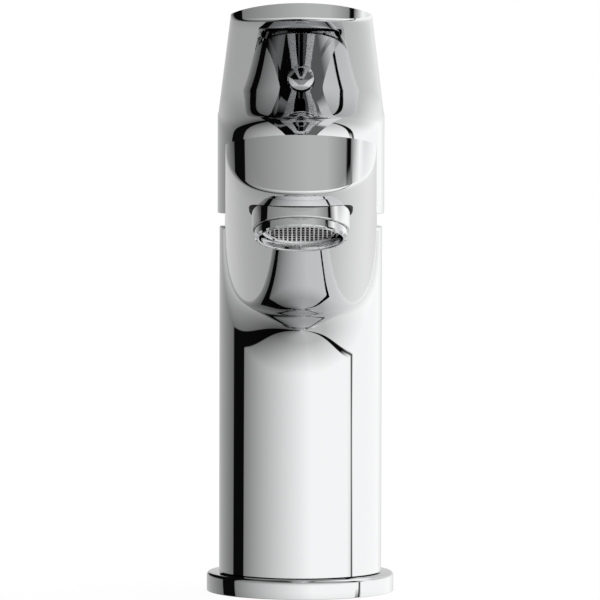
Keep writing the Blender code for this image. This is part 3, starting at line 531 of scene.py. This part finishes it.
# Spout and lever: the same form at two sizes, measured from the column's axis towards the front.
# Near the column the underside runs out in a blend, and "pull" is how full its curve is.
spout = {
    "wall": 24.0 * mm, "reach": 148.0 * mm, "topAtWall": 110.1 * mm, "topAngle": 11.77,
    "underAtWall": 79.2 * mm, "underAngle": 18.0, "half": 22.5 * mm, "taper": 0.018,
    "tipRadius": 22.1 * mm, "fillet": 20.0 * mm, "runout": 20.0 * mm, "pull": 0.6, "edge": 0.9 * mm,
    "power": 2.65, "tipPower": 2.3,
}
lever = {
    "wall": 24.6 * mm, "reach": 106.7 * mm, "topAtWall": 147.48 * mm, "topAngle": 16.17,
    "underAtWall": 140.8 * mm, "underAngle": 17.30, "half": 24.5 * mm, "taper": 0.0535,
    "tipRadius": 24.1 * mm, "fillet": 14.0 * mm, "runout": 32.0 * mm, "pull": 0.92, "edge": 0.9 * mm,
    "power": 2.2, "tipPower": 2.4,
}
armSteps = {"around": 96, "along": 10, "fillet": 22, "edge": 5}


def armTop(arm, reach):
    return arm["topAtWall"] + (reach - arm["wall"]) * math.tan(math.radians(arm["topAngle"]))


def armUnder(arm, reach):
    return arm["underAtWall"] + (reach - arm["wall"]) * math.tan(math.radians(arm["underAngle"]))


def armPower(arm, reach):
    along = (reach - arm["wall"]) / (arm["reach"] - arm["wall"])
    return arm["power"] + along * (arm["tipPower"] - arm["power"])


def armPoint(arm, reach, turn):
    # The underside's section is a squared ellipse.
    half = arm["half"] - reach * arm["taper"]
    depth = armTop(arm, reach) - armUnder(arm, reach)
    share = 2.0 / armPower(arm, reach)
    side = math.copysign(abs(math.cos(turn)) ** share, math.cos(turn))
    return Vector((half * side, reach, armTop(arm, reach) - depth * abs(math.sin(turn)) ** share))


def armOutward(arm, reach, turn):
    half = arm["half"] - reach * arm["taper"]
    depth = armTop(arm, reach) - armUnder(arm, reach)
    rise = math.tan(math.radians(arm["topAngle"]))
    growth = rise - math.tan(math.radians(arm["underAngle"]))
    share = 2.0 / armPower(arm, reach)
    across = abs(math.cos(turn)) ** (2.0 - share)
    down = abs(math.sin(turn)) ** (2.0 - share)
    ahead = across * abs(math.cos(turn)) ** share * arm["taper"] / half
    ahead += down * (rise - abs(math.sin(turn)) ** share * growth) / depth
    return Vector((math.copysign(across, math.cos(turn)) / half, ahead, -down / depth)).normalized()


def pastTip(arm, point):
    slope = math.radians(arm["topAngle"])
    ahead = (point.y - arm["reach"]) * math.cos(slope)
    ahead += (point.z - armTop(arm, arm["reach"])) * math.sin(slope)
    return math.hypot(ahead + arm["tipRadius"], point.x) - arm["tipRadius"]


def toTip(arm, place):
    start = arm["reach"] - arm["tipRadius"]
    beyond = 1.2 * arm["reach"]
    return place(solve(lambda reach: pastTip(arm, place(reach)), start, beyond))


def alongFace(arm, point, turn):
    # The way inwards along the tip's face, square to its edge with the underside.
    slope = math.radians(arm["topAngle"])
    ahead = math.sqrt(max(0.0, arm["tipRadius"] ** 2 - point.x ** 2))
    facing = Vector((point.x, ahead * math.cos(slope), ahead * math.sin(slope))).normalized()
    inward = -armOutward(arm, point.y, turn)
    return (inward - inward.dot(facing) * facing).normalized()


def armContact(arm, turn, radius):
    # A ball that touches the underside and the wall: both points, and the way to each from its centre.
    def centre(reach):
        return armPoint(arm, reach, turn) + radius * armOutward(arm, reach, turn)

    ball = arm["wall"] + radius
    reach = solve(lambda r: math.hypot(centre(r).x, centre(r).y) - ball, 0.0, arm["reach"])
    middle = centre(reach)
    toUnder = -armOutward(arm, reach, turn)
    toWall = -Vector((middle.x, middle.y, 0.0)).normalized()
    return armPoint(arm, reach, turn), middle + radius * toWall, toUnder, toWall


def armBlend(arm, turn):
    # A curve from a long run-out along the underside to a shorter one down the wall, then into it.
    start, _, toUnder, toWall = armContact(arm, turn, arm["runout"])
    half = math.tan(toUnder.angle(toWall) / 2.0)
    leave = (toWall - toWall.dot(toUnder) * toUnder).normalized()
    first = start + arm["pull"] * arm["runout"] * half * leave
    _, end, toUnder, toWall = armContact(arm, turn, arm["fillet"])
    half = math.tan(toUnder.angle(toWall) / 2.0)
    arrive = (toUnder - toUnder.dot(toWall) * toWall).normalized()
    second = end + arm["pull"] * arm["fillet"] * half * arrive
    arc = []
    for step in range(armSteps["fillet"] + 1):
        share = step / armSteps["fillet"]
        rest = 1.0 - share
        arc.append(rest ** 3 * start + 3.0 * rest ** 2 * share * first + 3.0 * rest * share ** 2 * second
                   + share ** 3 * end)
    return arc + [end + making["overrun"] * toWall]


def armRows(arm):
    # Closed rows from the tip to the wall: along the underside, then back along the top.
    around = armSteps["around"]
    turns = [math.pi * column / around for column in range(around + 1)]
    raised = Vector((0.0, 0.0, making["overrun"]))
    under = [toTip(arm, lambda reach, t=turn: armPoint(arm, reach, t)) for turn in turns]
    blends = [armBlend(arm, turn) for turn in turns]

    def overLine(row):
        first, last = (Vector((end.x, end.y, armTop(arm, end.y))) + raised for end in (row[0], row[-1]))
        return [last.lerp(first, column / around) for column in range(around + 1)]

    def overFace(point):
        return toTip(arm, lambda reach: Vector((point.x, reach, armTop(arm, reach)))) + raised

    rows = []
    for step in range(armSteps["edge"] + 1):
        angle = math.pi / 2.0 * step / armSteps["edge"]
        back = 1.0 - math.cos(angle)
        row = []
        for turn, point, blend in zip(turns, under, blends):
            inward = alongFace(arm, point, turn)
            backward = (blend[0] - point).normalized()
            row.append(point + arm["edge"] * ((1.0 - math.sin(angle)) * inward + back * backward))
        over = [overFace(point) - Vector((0.0, back * arm["edge"], 0.0)) for point in row]
        rows.append(row + over[::-1])
    starts = rows[-1][:around + 1]
    for step in range(1, armSteps["along"]):
        share = step / armSteps["along"]
        row = [start.lerp(blend[0], share) for start, blend in zip(starts, blends)]
        rows.append(row + overLine(row))
    for column in zip(*blends):
        rows.append(list(column) + overLine(column))
    return rows


def armMesh(name, arm):
    rows = armRows(arm)
    points = [(point.x, -point.y, point.z) for row in rows for point in row]
    count = len(rows[0])
    faces = []
    for index in range(len(rows) - 1):
        for column in range(count):
            after = (column + 1) % count
            faces.append((index * count + column, index * count + after,
                          (index + 1) * count + after, (index + 1) * count + column))
    for base in (0, (len(rows) - 1) * count):
        for column in range(count // 2 - 1):
            opposite = count - 1 - column
            faces.append((base + column, base + column + 1, base + opposite - 1, base + opposite))
    mesh = bpy.data.meshes.new(name)
    mesh.from_pydata(points, [], faces)
    shape = bmesh.new()
    shape.from_mesh(mesh)
    bmesh.ops.remove_doubles(shape, verts=shape.verts, dist=making["touching"])
    bmesh.ops.recalc_face_normals(shape, faces=shape.faces)
    return meshFrom(shape, name)


def slicedAlong(mesh, arm, lower=0.0):
    # Cut along the arm's top, or at some height below it.
    return slicedBelow(mesh, armTop(arm, 0.0) - lower, arm["topAngle"])


# Body: column, spout, collar and the passages inside.
column = {
    "radius": 24.0 * mm, "top": 107.9 * mm, "foot": 5.9 * mm, "spigot": 20.0 * mm, "edge": 0.4 * mm,
    "chamber": 18.0 * mm, "chamberFloor": 68.0 * mm, "nutBore": 19.9 * mm, "coverBore": 21.8 * mm,
    "shoulder": 97.7 * mm, "openAbove": 25.0 * mm, "steps": 256,
}
footHoles = {
    "aside": 8.0 * mm, "ahead": 4.0 * mm, "passage": 4.0 * mm, "passageTop": 71.0 * mm, "socket": 5.0 * mm,
    "socketTop": 18.0 * mm, "stud": 4.0 * mm, "studTop": 22.0 * mm, "studBack": 11.0 * mm, "steps": 48,
}
# The dark ring in the collar's groove, from shadeRingLow to shadeRingTop, is painted shade, not a real seal.
outlet = {
    "setback": 20.5 * mm, "collar": 13.1 * mm, "drop": 2.6 * mm, "rise": 8.5 * mm, "bore": 12.0 * mm,
    "boreDepth": 5.6 * mm, "throat": 10.0 * mm, "edge": 0.3 * mm, "groove": 0.85 * mm,
    "grooveDepth": 5.5 * mm, "shadeRingLow": 2.7 * mm, "shadeRingTop": 5.3 * mm, "shadeRingGap": 0.05 * mm, "steps": 192,
}


def outletMatrix():
    reach = spout["reach"] - outlet["setback"]
    place = Matrix.Translation((0.0, -reach, armUnder(spout, reach)))
    return place @ Matrix.Rotation(-math.radians(spout["underAngle"]), 4, "X")


def outletMesh(name, outline, steps=outlet["steps"], closed=False):
    return moved(turnedMesh(name, outline, steps, closed), outletMatrix())


def footTools():
    # The two inlet sockets with their passages, and the stud's hole behind them.
    f = footHoles
    below = -making["overrun"]
    tools = []
    for side in (-1.0, 1.0):
        socket = turnedMesh("socket", [
            (0.0, f["passageTop"]), (f["passage"], f["passageTop"]), (f["passage"], f["socketTop"]),
            (f["socket"], f["socketTop"]), (f["socket"], below), (0.0, below)], f["steps"])
        tools.append(moved(socket, Matrix.Translation((side * f["aside"], -f["ahead"], 0.0))))
    stud = turnedMesh("stud", [
        (0.0, f["studTop"]), (f["stud"], f["studTop"]), (f["stud"], below), (0.0, below)], f["steps"])
    return tools + [moved(stud, Matrix.Translation((0.0, f["studBack"], 0.0)))]


def buildBody():
    c = column
    outer = turnedMesh("column", [(0.0, c["top"])] + roundedRim(c["radius"], c["top"], c["edge"]) + [
        (c["radius"], c["foot"]), (c["spigot"], c["foot"]), (c["spigot"], 0.0), (0.0, 0.0)], c["steps"])
    mesh = joined(outer, slicedAlong(armMesh("arm", spout), spout))
    high = c["top"] + c["openAbove"]
    chamber = turnedMesh("chamber", [
        (0.0, high), (c["coverBore"], high), (c["coverBore"], c["top"]), (c["nutBore"], c["top"]),
        (c["nutBore"], c["shoulder"]), (c["chamber"], c["shoulder"]), (c["chamber"], c["chamberFloor"]),
        (0.0, c["chamberFloor"])], c["steps"])
    o = outlet
    rim = roundedRim(o["collar"], -o["drop"], o["edge"], upper=False)
    collar = outletMesh("collar", [(0.0, o["rise"]), (o["collar"], o["rise"])] + rim + [(0.0, -o["drop"])])
    wide = o["collar"] + o["groove"]
    groove = outletMesh("groove", [
        (0.0, o["grooveDepth"]), (wide, o["grooveDepth"]), (wide, -o["rise"]), (0.0, -o["rise"])])
    top = o["rise"] + making["overrun"]
    bottom = -o["drop"] - making["overrun"]
    bore = outletMesh("bore", [
        (0.0, top), (o["throat"], top), (o["throat"], o["boreDepth"]), (o["bore"], o["boreDepth"]),
        (o["bore"], bottom), (0.0, bottom)])
    mesh = joined(carved(mesh, chamber, groove), collar)
    mesh = carved(mesh, bore, *footTools())
    addPiece("bodyChrome", finishShading(mesh), "chrome", "root", ["body"])


def buildPaintedShadeRing():
    # Painted shade: a dark ring set deep in the groove round the collar, so the groove reads black.
    o = outlet
    near = o["collar"] + o["shadeRingGap"]
    far = near - 2.0 * o["shadeRingGap"] + o["groove"]
    outline = [(near, o["shadeRingTop"]), (far, o["shadeRingTop"])]
    outline += roundedRim(far, o["shadeRingLow"], o["edge"], upper=False) + [(near, o["shadeRingLow"])]
    # A dark ring of painted shade in the groove, in the rubber finish.
    mesh = outletMesh("seal", outline, closed=True)
    addPiece("collarShadeRing", finishShading(mesh), "rubber", "root")


buildBody()
buildPaintedShadeRing()
print("body made")


# Outlet: the ring with its key slots, and what sits in it. Heights start at the underside of the spout.
aerator = {
    "flange": 12.4 * mm, "thread": 11.8 * mm, "inner": 11.2 * mm, "seat": 2.75 * mm, "rim": 5.1 * mm,
    "edge": 0.35 * mm, "edgeSteps": 3, "slots": 22, "slotWidth": 3.0 * mm, "slotDepth": 0.55 * mm,
    "slotAcross": 1.0 * mm, "slotInset": 0.1 * mm, "top": 4.0 * mm, "steps": 264,
}
insert = {
    "play": 0.2 * mm, "neckAt": 0.5 * mm, "radius": 10.4 * mm, "rim": 3.3 * mm, "edge": 0.25 * mm,
    "meshPlay": 0.05 * mm, "shadeDisc": 9.0 * mm, "shadeDiscRim": 0.9 * mm, "shadeDiscSteps": 64,
}
wires = {
    "radius": 9.15 * mm, "at": 3.15 * mm, "hoop": 0.3 * mm, "hoopHeight": 0.25 * mm, "pitch": 1.176 * mm,
    "crossPitch": 2.19 * mm, "strand": 0.38 * mm, "crossShare": 0.8, "thickness": 0.12 * mm,
    "lift": 0.08 * mm, "crossLift": 0.1 * mm, "steps": 96,
}
washer = {"hole": 9.85 * mm, "radius": 11.55 * mm, "top": 5.3 * mm, "bottom": 4.3 * mm, "steps": 96}
sieve = {
    "radius": 9.55 * mm, "inside": 8.95 * mm, "shoulder": 4.9 * mm, "foot": 4.3 * mm, "rise": 2.2 * mm,
    "archSteps": 8, "steps": 96,
}


def slotTools():
    a = aerator
    shape = bmesh.new()
    size = (a["slotWidth"], a["slotAcross"], 2.0 * a["slotDepth"])
    for index in range(a["slots"]):
        corners = addBox(shape, size, (0.0, a["flange"] - a["slotInset"], -a["rim"]))
        turn = Matrix.Rotation(2.0 * math.pi * (index + 0.5) / a["slots"], 3, "Z")
        bmesh.ops.rotate(shape, cent=Vector(), matrix=turn, verts=corners)
    return moved(meshFrom(shape, "slots"), outletMatrix())


def buildAeratorRing():
    a = aerator
    outline = [(a["thread"], a["top"]), (a["thread"], -a["seat"]), (a["flange"], -a["seat"])]
    outline += roundedRim(a["flange"], -a["rim"], a["edge"], upper=False)
    for step in range(a["edgeSteps"] + 1):
        turn = math.pi / 2.0 * step / a["edgeSteps"]
        outline.append((a["inner"] + a["edge"] * (1.0 - math.sin(turn)),
                        -a["rim"] + a["edge"] * (1.0 - math.cos(turn))))
    outline.append((a["inner"], a["top"]))
    housing = carved(outletMesh("housing", outline, a["steps"], closed=True), slotTools())
    addPiece("aeratorRing", finishShading(housing), "chrome", "root", ["aerator_housing"])


def buildInsert():
    # The inner ring, and a dark disc of painted shade that stands for the shaded holes behind the mesh.
    outer = aerator["inner"] - insert["play"]
    inner = wires["radius"] + insert["meshPlay"]
    top = aerator["top"]
    outline = [(outer, top), (outer, insert["neckAt"]), (insert["radius"], insert["neckAt"])]
    outline += roundedRim(insert["radius"], -insert["rim"], insert["edge"], upper=False)
    outline += [(inner, -insert["rim"]), (inner, top)]
    mesh = outletMesh("insert", outline, closed=True)
    addPiece("aeratorInsert", finishShading(mesh), "chrome", "root", ["aerator_insert"])
    # A dark disc of painted shade behind the mesh, in the rubber finish.
    shadeDisc = outletMesh("shadeDisc", [
        (0.0, top), (insert["shadeDisc"], top), (insert["shadeDisc"], -insert["shadeDiscRim"]),
        (0.0, -insert["shadeDiscRim"])], insert["shadeDiscSteps"])
    addPiece("aeratorShadeDisc", finishShading(shadeDisc), "rubber", "root")


def buildWires():
    # A hoop, the fine wires from front to back and fewer, thinner ones across.
    w = wires
    low = -w["at"]
    inside = w["radius"] - w["hoop"]
    shape = bmesh.new()
    shape.from_mesh(turnedMesh("hoop", [
        (inside, low + w["hoopHeight"]), (w["radius"], low + w["hoopHeight"]), (w["radius"], low),
        (inside, low)], w["steps"], closed=True))
    reach = w["radius"] - w["hoop"] / 2.0
    kinds = (
        (w["pitch"], w["strand"], 0.0, False),
        (w["crossPitch"], w["crossShare"] * w["strand"], w["crossLift"], True),
    )
    for pitch, width, lift, across in kinds:
        count = int(reach / pitch)
        height = low + w["lift"] + lift
        for index in range(-count, count + 1):
            place = index * pitch
            length = 2.0 * math.sqrt(reach ** 2 - place ** 2)
            if across:
                addBox(shape, (length, width, w["thickness"]), (0.0, place, height))
            else:
                addBox(shape, (width, length, w["thickness"]), (place, 0.0, height))
    mesh = moved(meshFrom(shape, "wires"), outletMatrix())
    addPiece("aeratorMesh", mesh, "wireSteel", "root", ["aerator_mesh"])


def buildWasher():
    w = washer
    mesh = outletMesh("washer", [
        (w["hole"], w["top"]), (w["radius"], w["top"]), (w["radius"], w["bottom"]),
        (w["hole"], w["bottom"])], w["steps"], closed=True)
    addPiece("washerRubber", finishShading(mesh), "rubber", "root", ["aerator_washer"])


def buildSieve():
    steps = sieve["archSteps"]

    def arch(radius, foot):
        turns = [math.pi / 2.0 * step / steps for step in range(steps + 1)]
        return [(radius * step / steps, foot + sieve["rise"] * math.cos(turn))
                for step, turn in enumerate(turns)]

    outline = arch(sieve["radius"], sieve["shoulder"]) + [(sieve["radius"], sieve["foot"])]
    outline += arch(sieve["inside"], sieve["foot"])[::-1]
    mesh = outletMesh("sieve", outline, sieve["steps"])
    addPiece("sievePlastic", finishShading(mesh), "whitePlastic", "root", ["aerator_screen"])


buildAeratorRing()
buildInsert()
buildWires()
buildWasher()
buildSieve()
print("outlet made")


ring = {
    "radius": 27.65 * mm, "height": 5.6 * mm, "edge": 1.0 * mm, "lowerEdge": 0.2 * mm, "hole": 20.3 * mm,
    "gasketOut": 26.3 * mm, "gasketIn": 22.5 * mm, "gasketDepth": 1.6 * mm, "sharpFrom": 40.0, "steps": 256,
}


def buildRing():
    r = ring
    outline = [(r["hole"], r["height"])] + roundedRim(r["radius"], r["height"], r["edge"])
    outline += roundedRim(r["radius"], 0.0, r["lowerEdge"], upper=False)
    outline += [(r["gasketOut"], 0.0), (r["gasketOut"], r["gasketDepth"]), (r["gasketIn"], r["gasketDepth"]),
                (r["gasketIn"], 0.0), (r["hole"], 0.0)]
    mesh = turnedMesh("ring", outline, r["steps"], closed=True)
    addPiece("ringChrome", finishShading(mesh, r["sharpFrom"]), "chrome", "root", ["base_ring"])


buildRing()
print("ring made")


# Handle: cap and lever in one, hollow under its top.
cap = {
    "radius": 24.6 * mm, "skirt": 111.65 * mm, "edge": 0.4 * mm, "wall": 2.7 * mm, "roof": 4.3 * mm,
    "boss": 7.8 * mm, "bossBottom": 118.5 * mm, "bossSteps": 64, "ribHalf": 5.0 * mm, "ribUp": 1.0 * mm,
    "stem": 4.3 * mm, "stemTop": 134.8 * mm, "screwHeight": 128.0 * mm, "pivot": 104.0 * mm, "lift": 20.0,
    "clearance": 1.5 * mm, "reliefHalf": 75.0 * mm, "steps": 256,
}
screwHole = {
    "mouth": 28.0 * mm, "recess": 4.8 * mm, "recessFrom": 23.0 * mm, "bore": 3.2 * mm,
    "boreFrom": 14.6 * mm, "thread": 2.8 * mm, "threadFrom": 4.0 * mm, "steps": 48,
}


def laidToFront(mesh):
    # From standing on the axis to lying towards the front, at the screw's height.
    place = Matrix.Translation((0.0, 0.0, cap["screwHeight"]))
    return moved(mesh, place @ Matrix.Rotation(math.radians(90.0), 4, "X"))


def handleTools():
    # The stem's socket, the screw's hole, and the relief that clears the column with the lever up.
    h = cap
    s = screwHole
    stem = boxMesh("stem", (-h["stem"], -h["stem"], h["bossBottom"] - making["overrun"]),
                   (h["stem"], h["stem"], h["stemTop"]))
    hole = laidToFront(turnedMesh("hole", [
        (0.0, s["mouth"]), (s["recess"], s["mouth"]), (s["recess"], s["recessFrom"]),
        (s["bore"], s["recessFrom"]), (s["bore"], s["boreFrom"]), (s["thread"], s["boreFrom"]),
        (s["thread"], s["threadFrom"]), (0.0, s["threadFrom"])], s["steps"]))
    size = h["reliefHalf"]
    top = column["top"] + h["clearance"] - h["pivot"]
    relief = boxMesh("relief", (-size, -size, top - size), (size, size, top))
    place = Matrix.Translation((0.0, 0.0, h["pivot"]))
    return stem, hole, moved(relief, place @ Matrix.Rotation(math.radians(h["lift"]), 4, "X"))


def buildHandle():
    h = cap
    above = armTop(lever, lever["reach"])
    rim = roundedRim(h["radius"], h["skirt"], h["edge"], upper=False)
    outer = turnedMesh("cap", [(0.0, above), (h["radius"], above)] + rim + [(0.0, h["skirt"])], h["steps"])
    whole = slicedAlong(joined(outer, armMesh("arm", lever)), lever)
    inner = h["radius"] - h["wall"]
    below = h["skirt"] - making["overrun"]
    drop = h["roof"] / math.cos(math.radians(lever["topAngle"]))
    hollow = turnedMesh("hollow", [(0.0, above), (inner, above), (inner, below), (0.0, below)], h["steps"])
    boss = turnedMesh("boss", [(0.0, above), (h["boss"], above), (h["boss"], h["bossBottom"]),
                               (0.0, h["bossBottom"])], h["bossSteps"])
    rib = boxMesh("rib", (-h["ribHalf"], -inner - h["wall"] / 2.0, h["bossBottom"] + h["ribUp"]),
                  (h["ribHalf"], -h["boss"] / 2.0, above))
    mesh = carved(whole, slicedAlong(hollow, lever, drop))
    mesh = joined(mesh, *[slicedAlong(item, lever, drop / 2.0) for item in (boss, rib)])
    mesh = carved(mesh, *handleTools())
    addPiece("handleChrome", finishShading(mesh), "chrome", "lever", ["handle"])


buildHandle()
print("handle made")


plug = {
    "radius": 4.4 * mm, "height": 1.05 * mm, "proud": 0.5 * mm, "seat": 23.3 * mm, "shank": 2.9 * mm,
    "shankEnd": 18.0 * mm, "domeSteps": 24, "steps": 96,
}


def buildPlug():
    # A shallow domed head just proud of the cap, with a shank behind it.
    p = plug
    sphere = (p["radius"] ** 2 + p["height"] ** 2) / (2.0 * p["height"])
    face = cap["radius"] + p["proud"]
    reach = math.asin(p["radius"] / sphere)
    outline = []
    for step in range(p["domeSteps"] + 1):
        turn = reach * step / p["domeSteps"]
        outline.append((sphere * math.sin(turn), face + p["height"] - sphere * (1.0 - math.cos(turn))))
    outline += [(p["radius"], p["seat"]), (p["shank"], p["seat"]), (p["shank"], p["shankEnd"]),
                (0.0, p["shankEnd"])]
    mesh = laidToFront(turnedMesh("plug", outline, p["steps"]))
    addPiece("plugChrome", finishShading(mesh), "chrome", "lever", ["index_plug"])


buildPlug()
print("plug made")


dome = {
    "radius": 21.5 * mm, "opening": 15.5 * mm, "wall": 1.2 * mm, "foot": 108.3 * mm, "spigot": 19.6 * mm,
    "spigotWall": 1.0 * mm, "spigotLow": 106.7 * mm, "arcSteps": 16, "steps": 192,
}


def buildDome():
    # A ball round the tilting pin's height, open on top, standing in the nut's bore.
    steps = dome["arcSteps"]

    def arc(radius, low):
        start = math.asin((low - cap["pivot"]) / radius)
        end = math.acos(dome["opening"] / radius)
        turns = [start + (end - start) * step / steps for step in range(steps + 1)]
        return [(radius * math.cos(turn), cap["pivot"] + radius * math.sin(turn)) for turn in turns]

    inside = dome["spigot"] - dome["spigotWall"]
    floorAt = dome["foot"] + dome["wall"]
    outline = arc(dome["radius"], dome["foot"])[::-1]
    outline += [(dome["spigot"], dome["foot"]), (dome["spigot"], dome["spigotLow"]),
                (inside, dome["spigotLow"]), (inside, floorAt)]
    outline += arc(dome["radius"] - dome["wall"], floorAt)
    mesh = turnedMesh("dome", outline, dome["steps"], closed=True)
    addPiece("domeChrome", finishShading(mesh), "chrome", "root", ["cover_dome"])


screw = {
    "radius": 2.5 * mm, "start": 4.45 * mm, "length": 10.0 * mm, "point": 1.0 * mm, "key": 1.25 * mm,
    "keyDepth": 3.0 * mm, "keyOverrun": 1.0 * mm, "keySides": 6, "steps": 48,
}


def buildScrew():
    s = screw
    tip = s["start"]
    end = tip + s["length"]
    past = end + s["keyOverrun"]
    floorAt = end - s["keyDepth"]
    body = turnedMesh("screw", [
        (0.0, end), (s["radius"], end), (s["radius"], tip + s["point"]), (s["radius"] / 2.0, tip),
        (0.0, tip)], s["steps"])
    key = turnedMesh("key", [
        (0.0, past), (s["key"], past), (s["key"], floorAt), (0.0, floorAt)], s["keySides"])
    mesh = laidToFront(carved(body, key))
    addPiece("screwSteel", finishShading(mesh), "satinSteel", "lever", ["grub_screw"])


buildDome()
buildScrew()
print("dome and screw made")
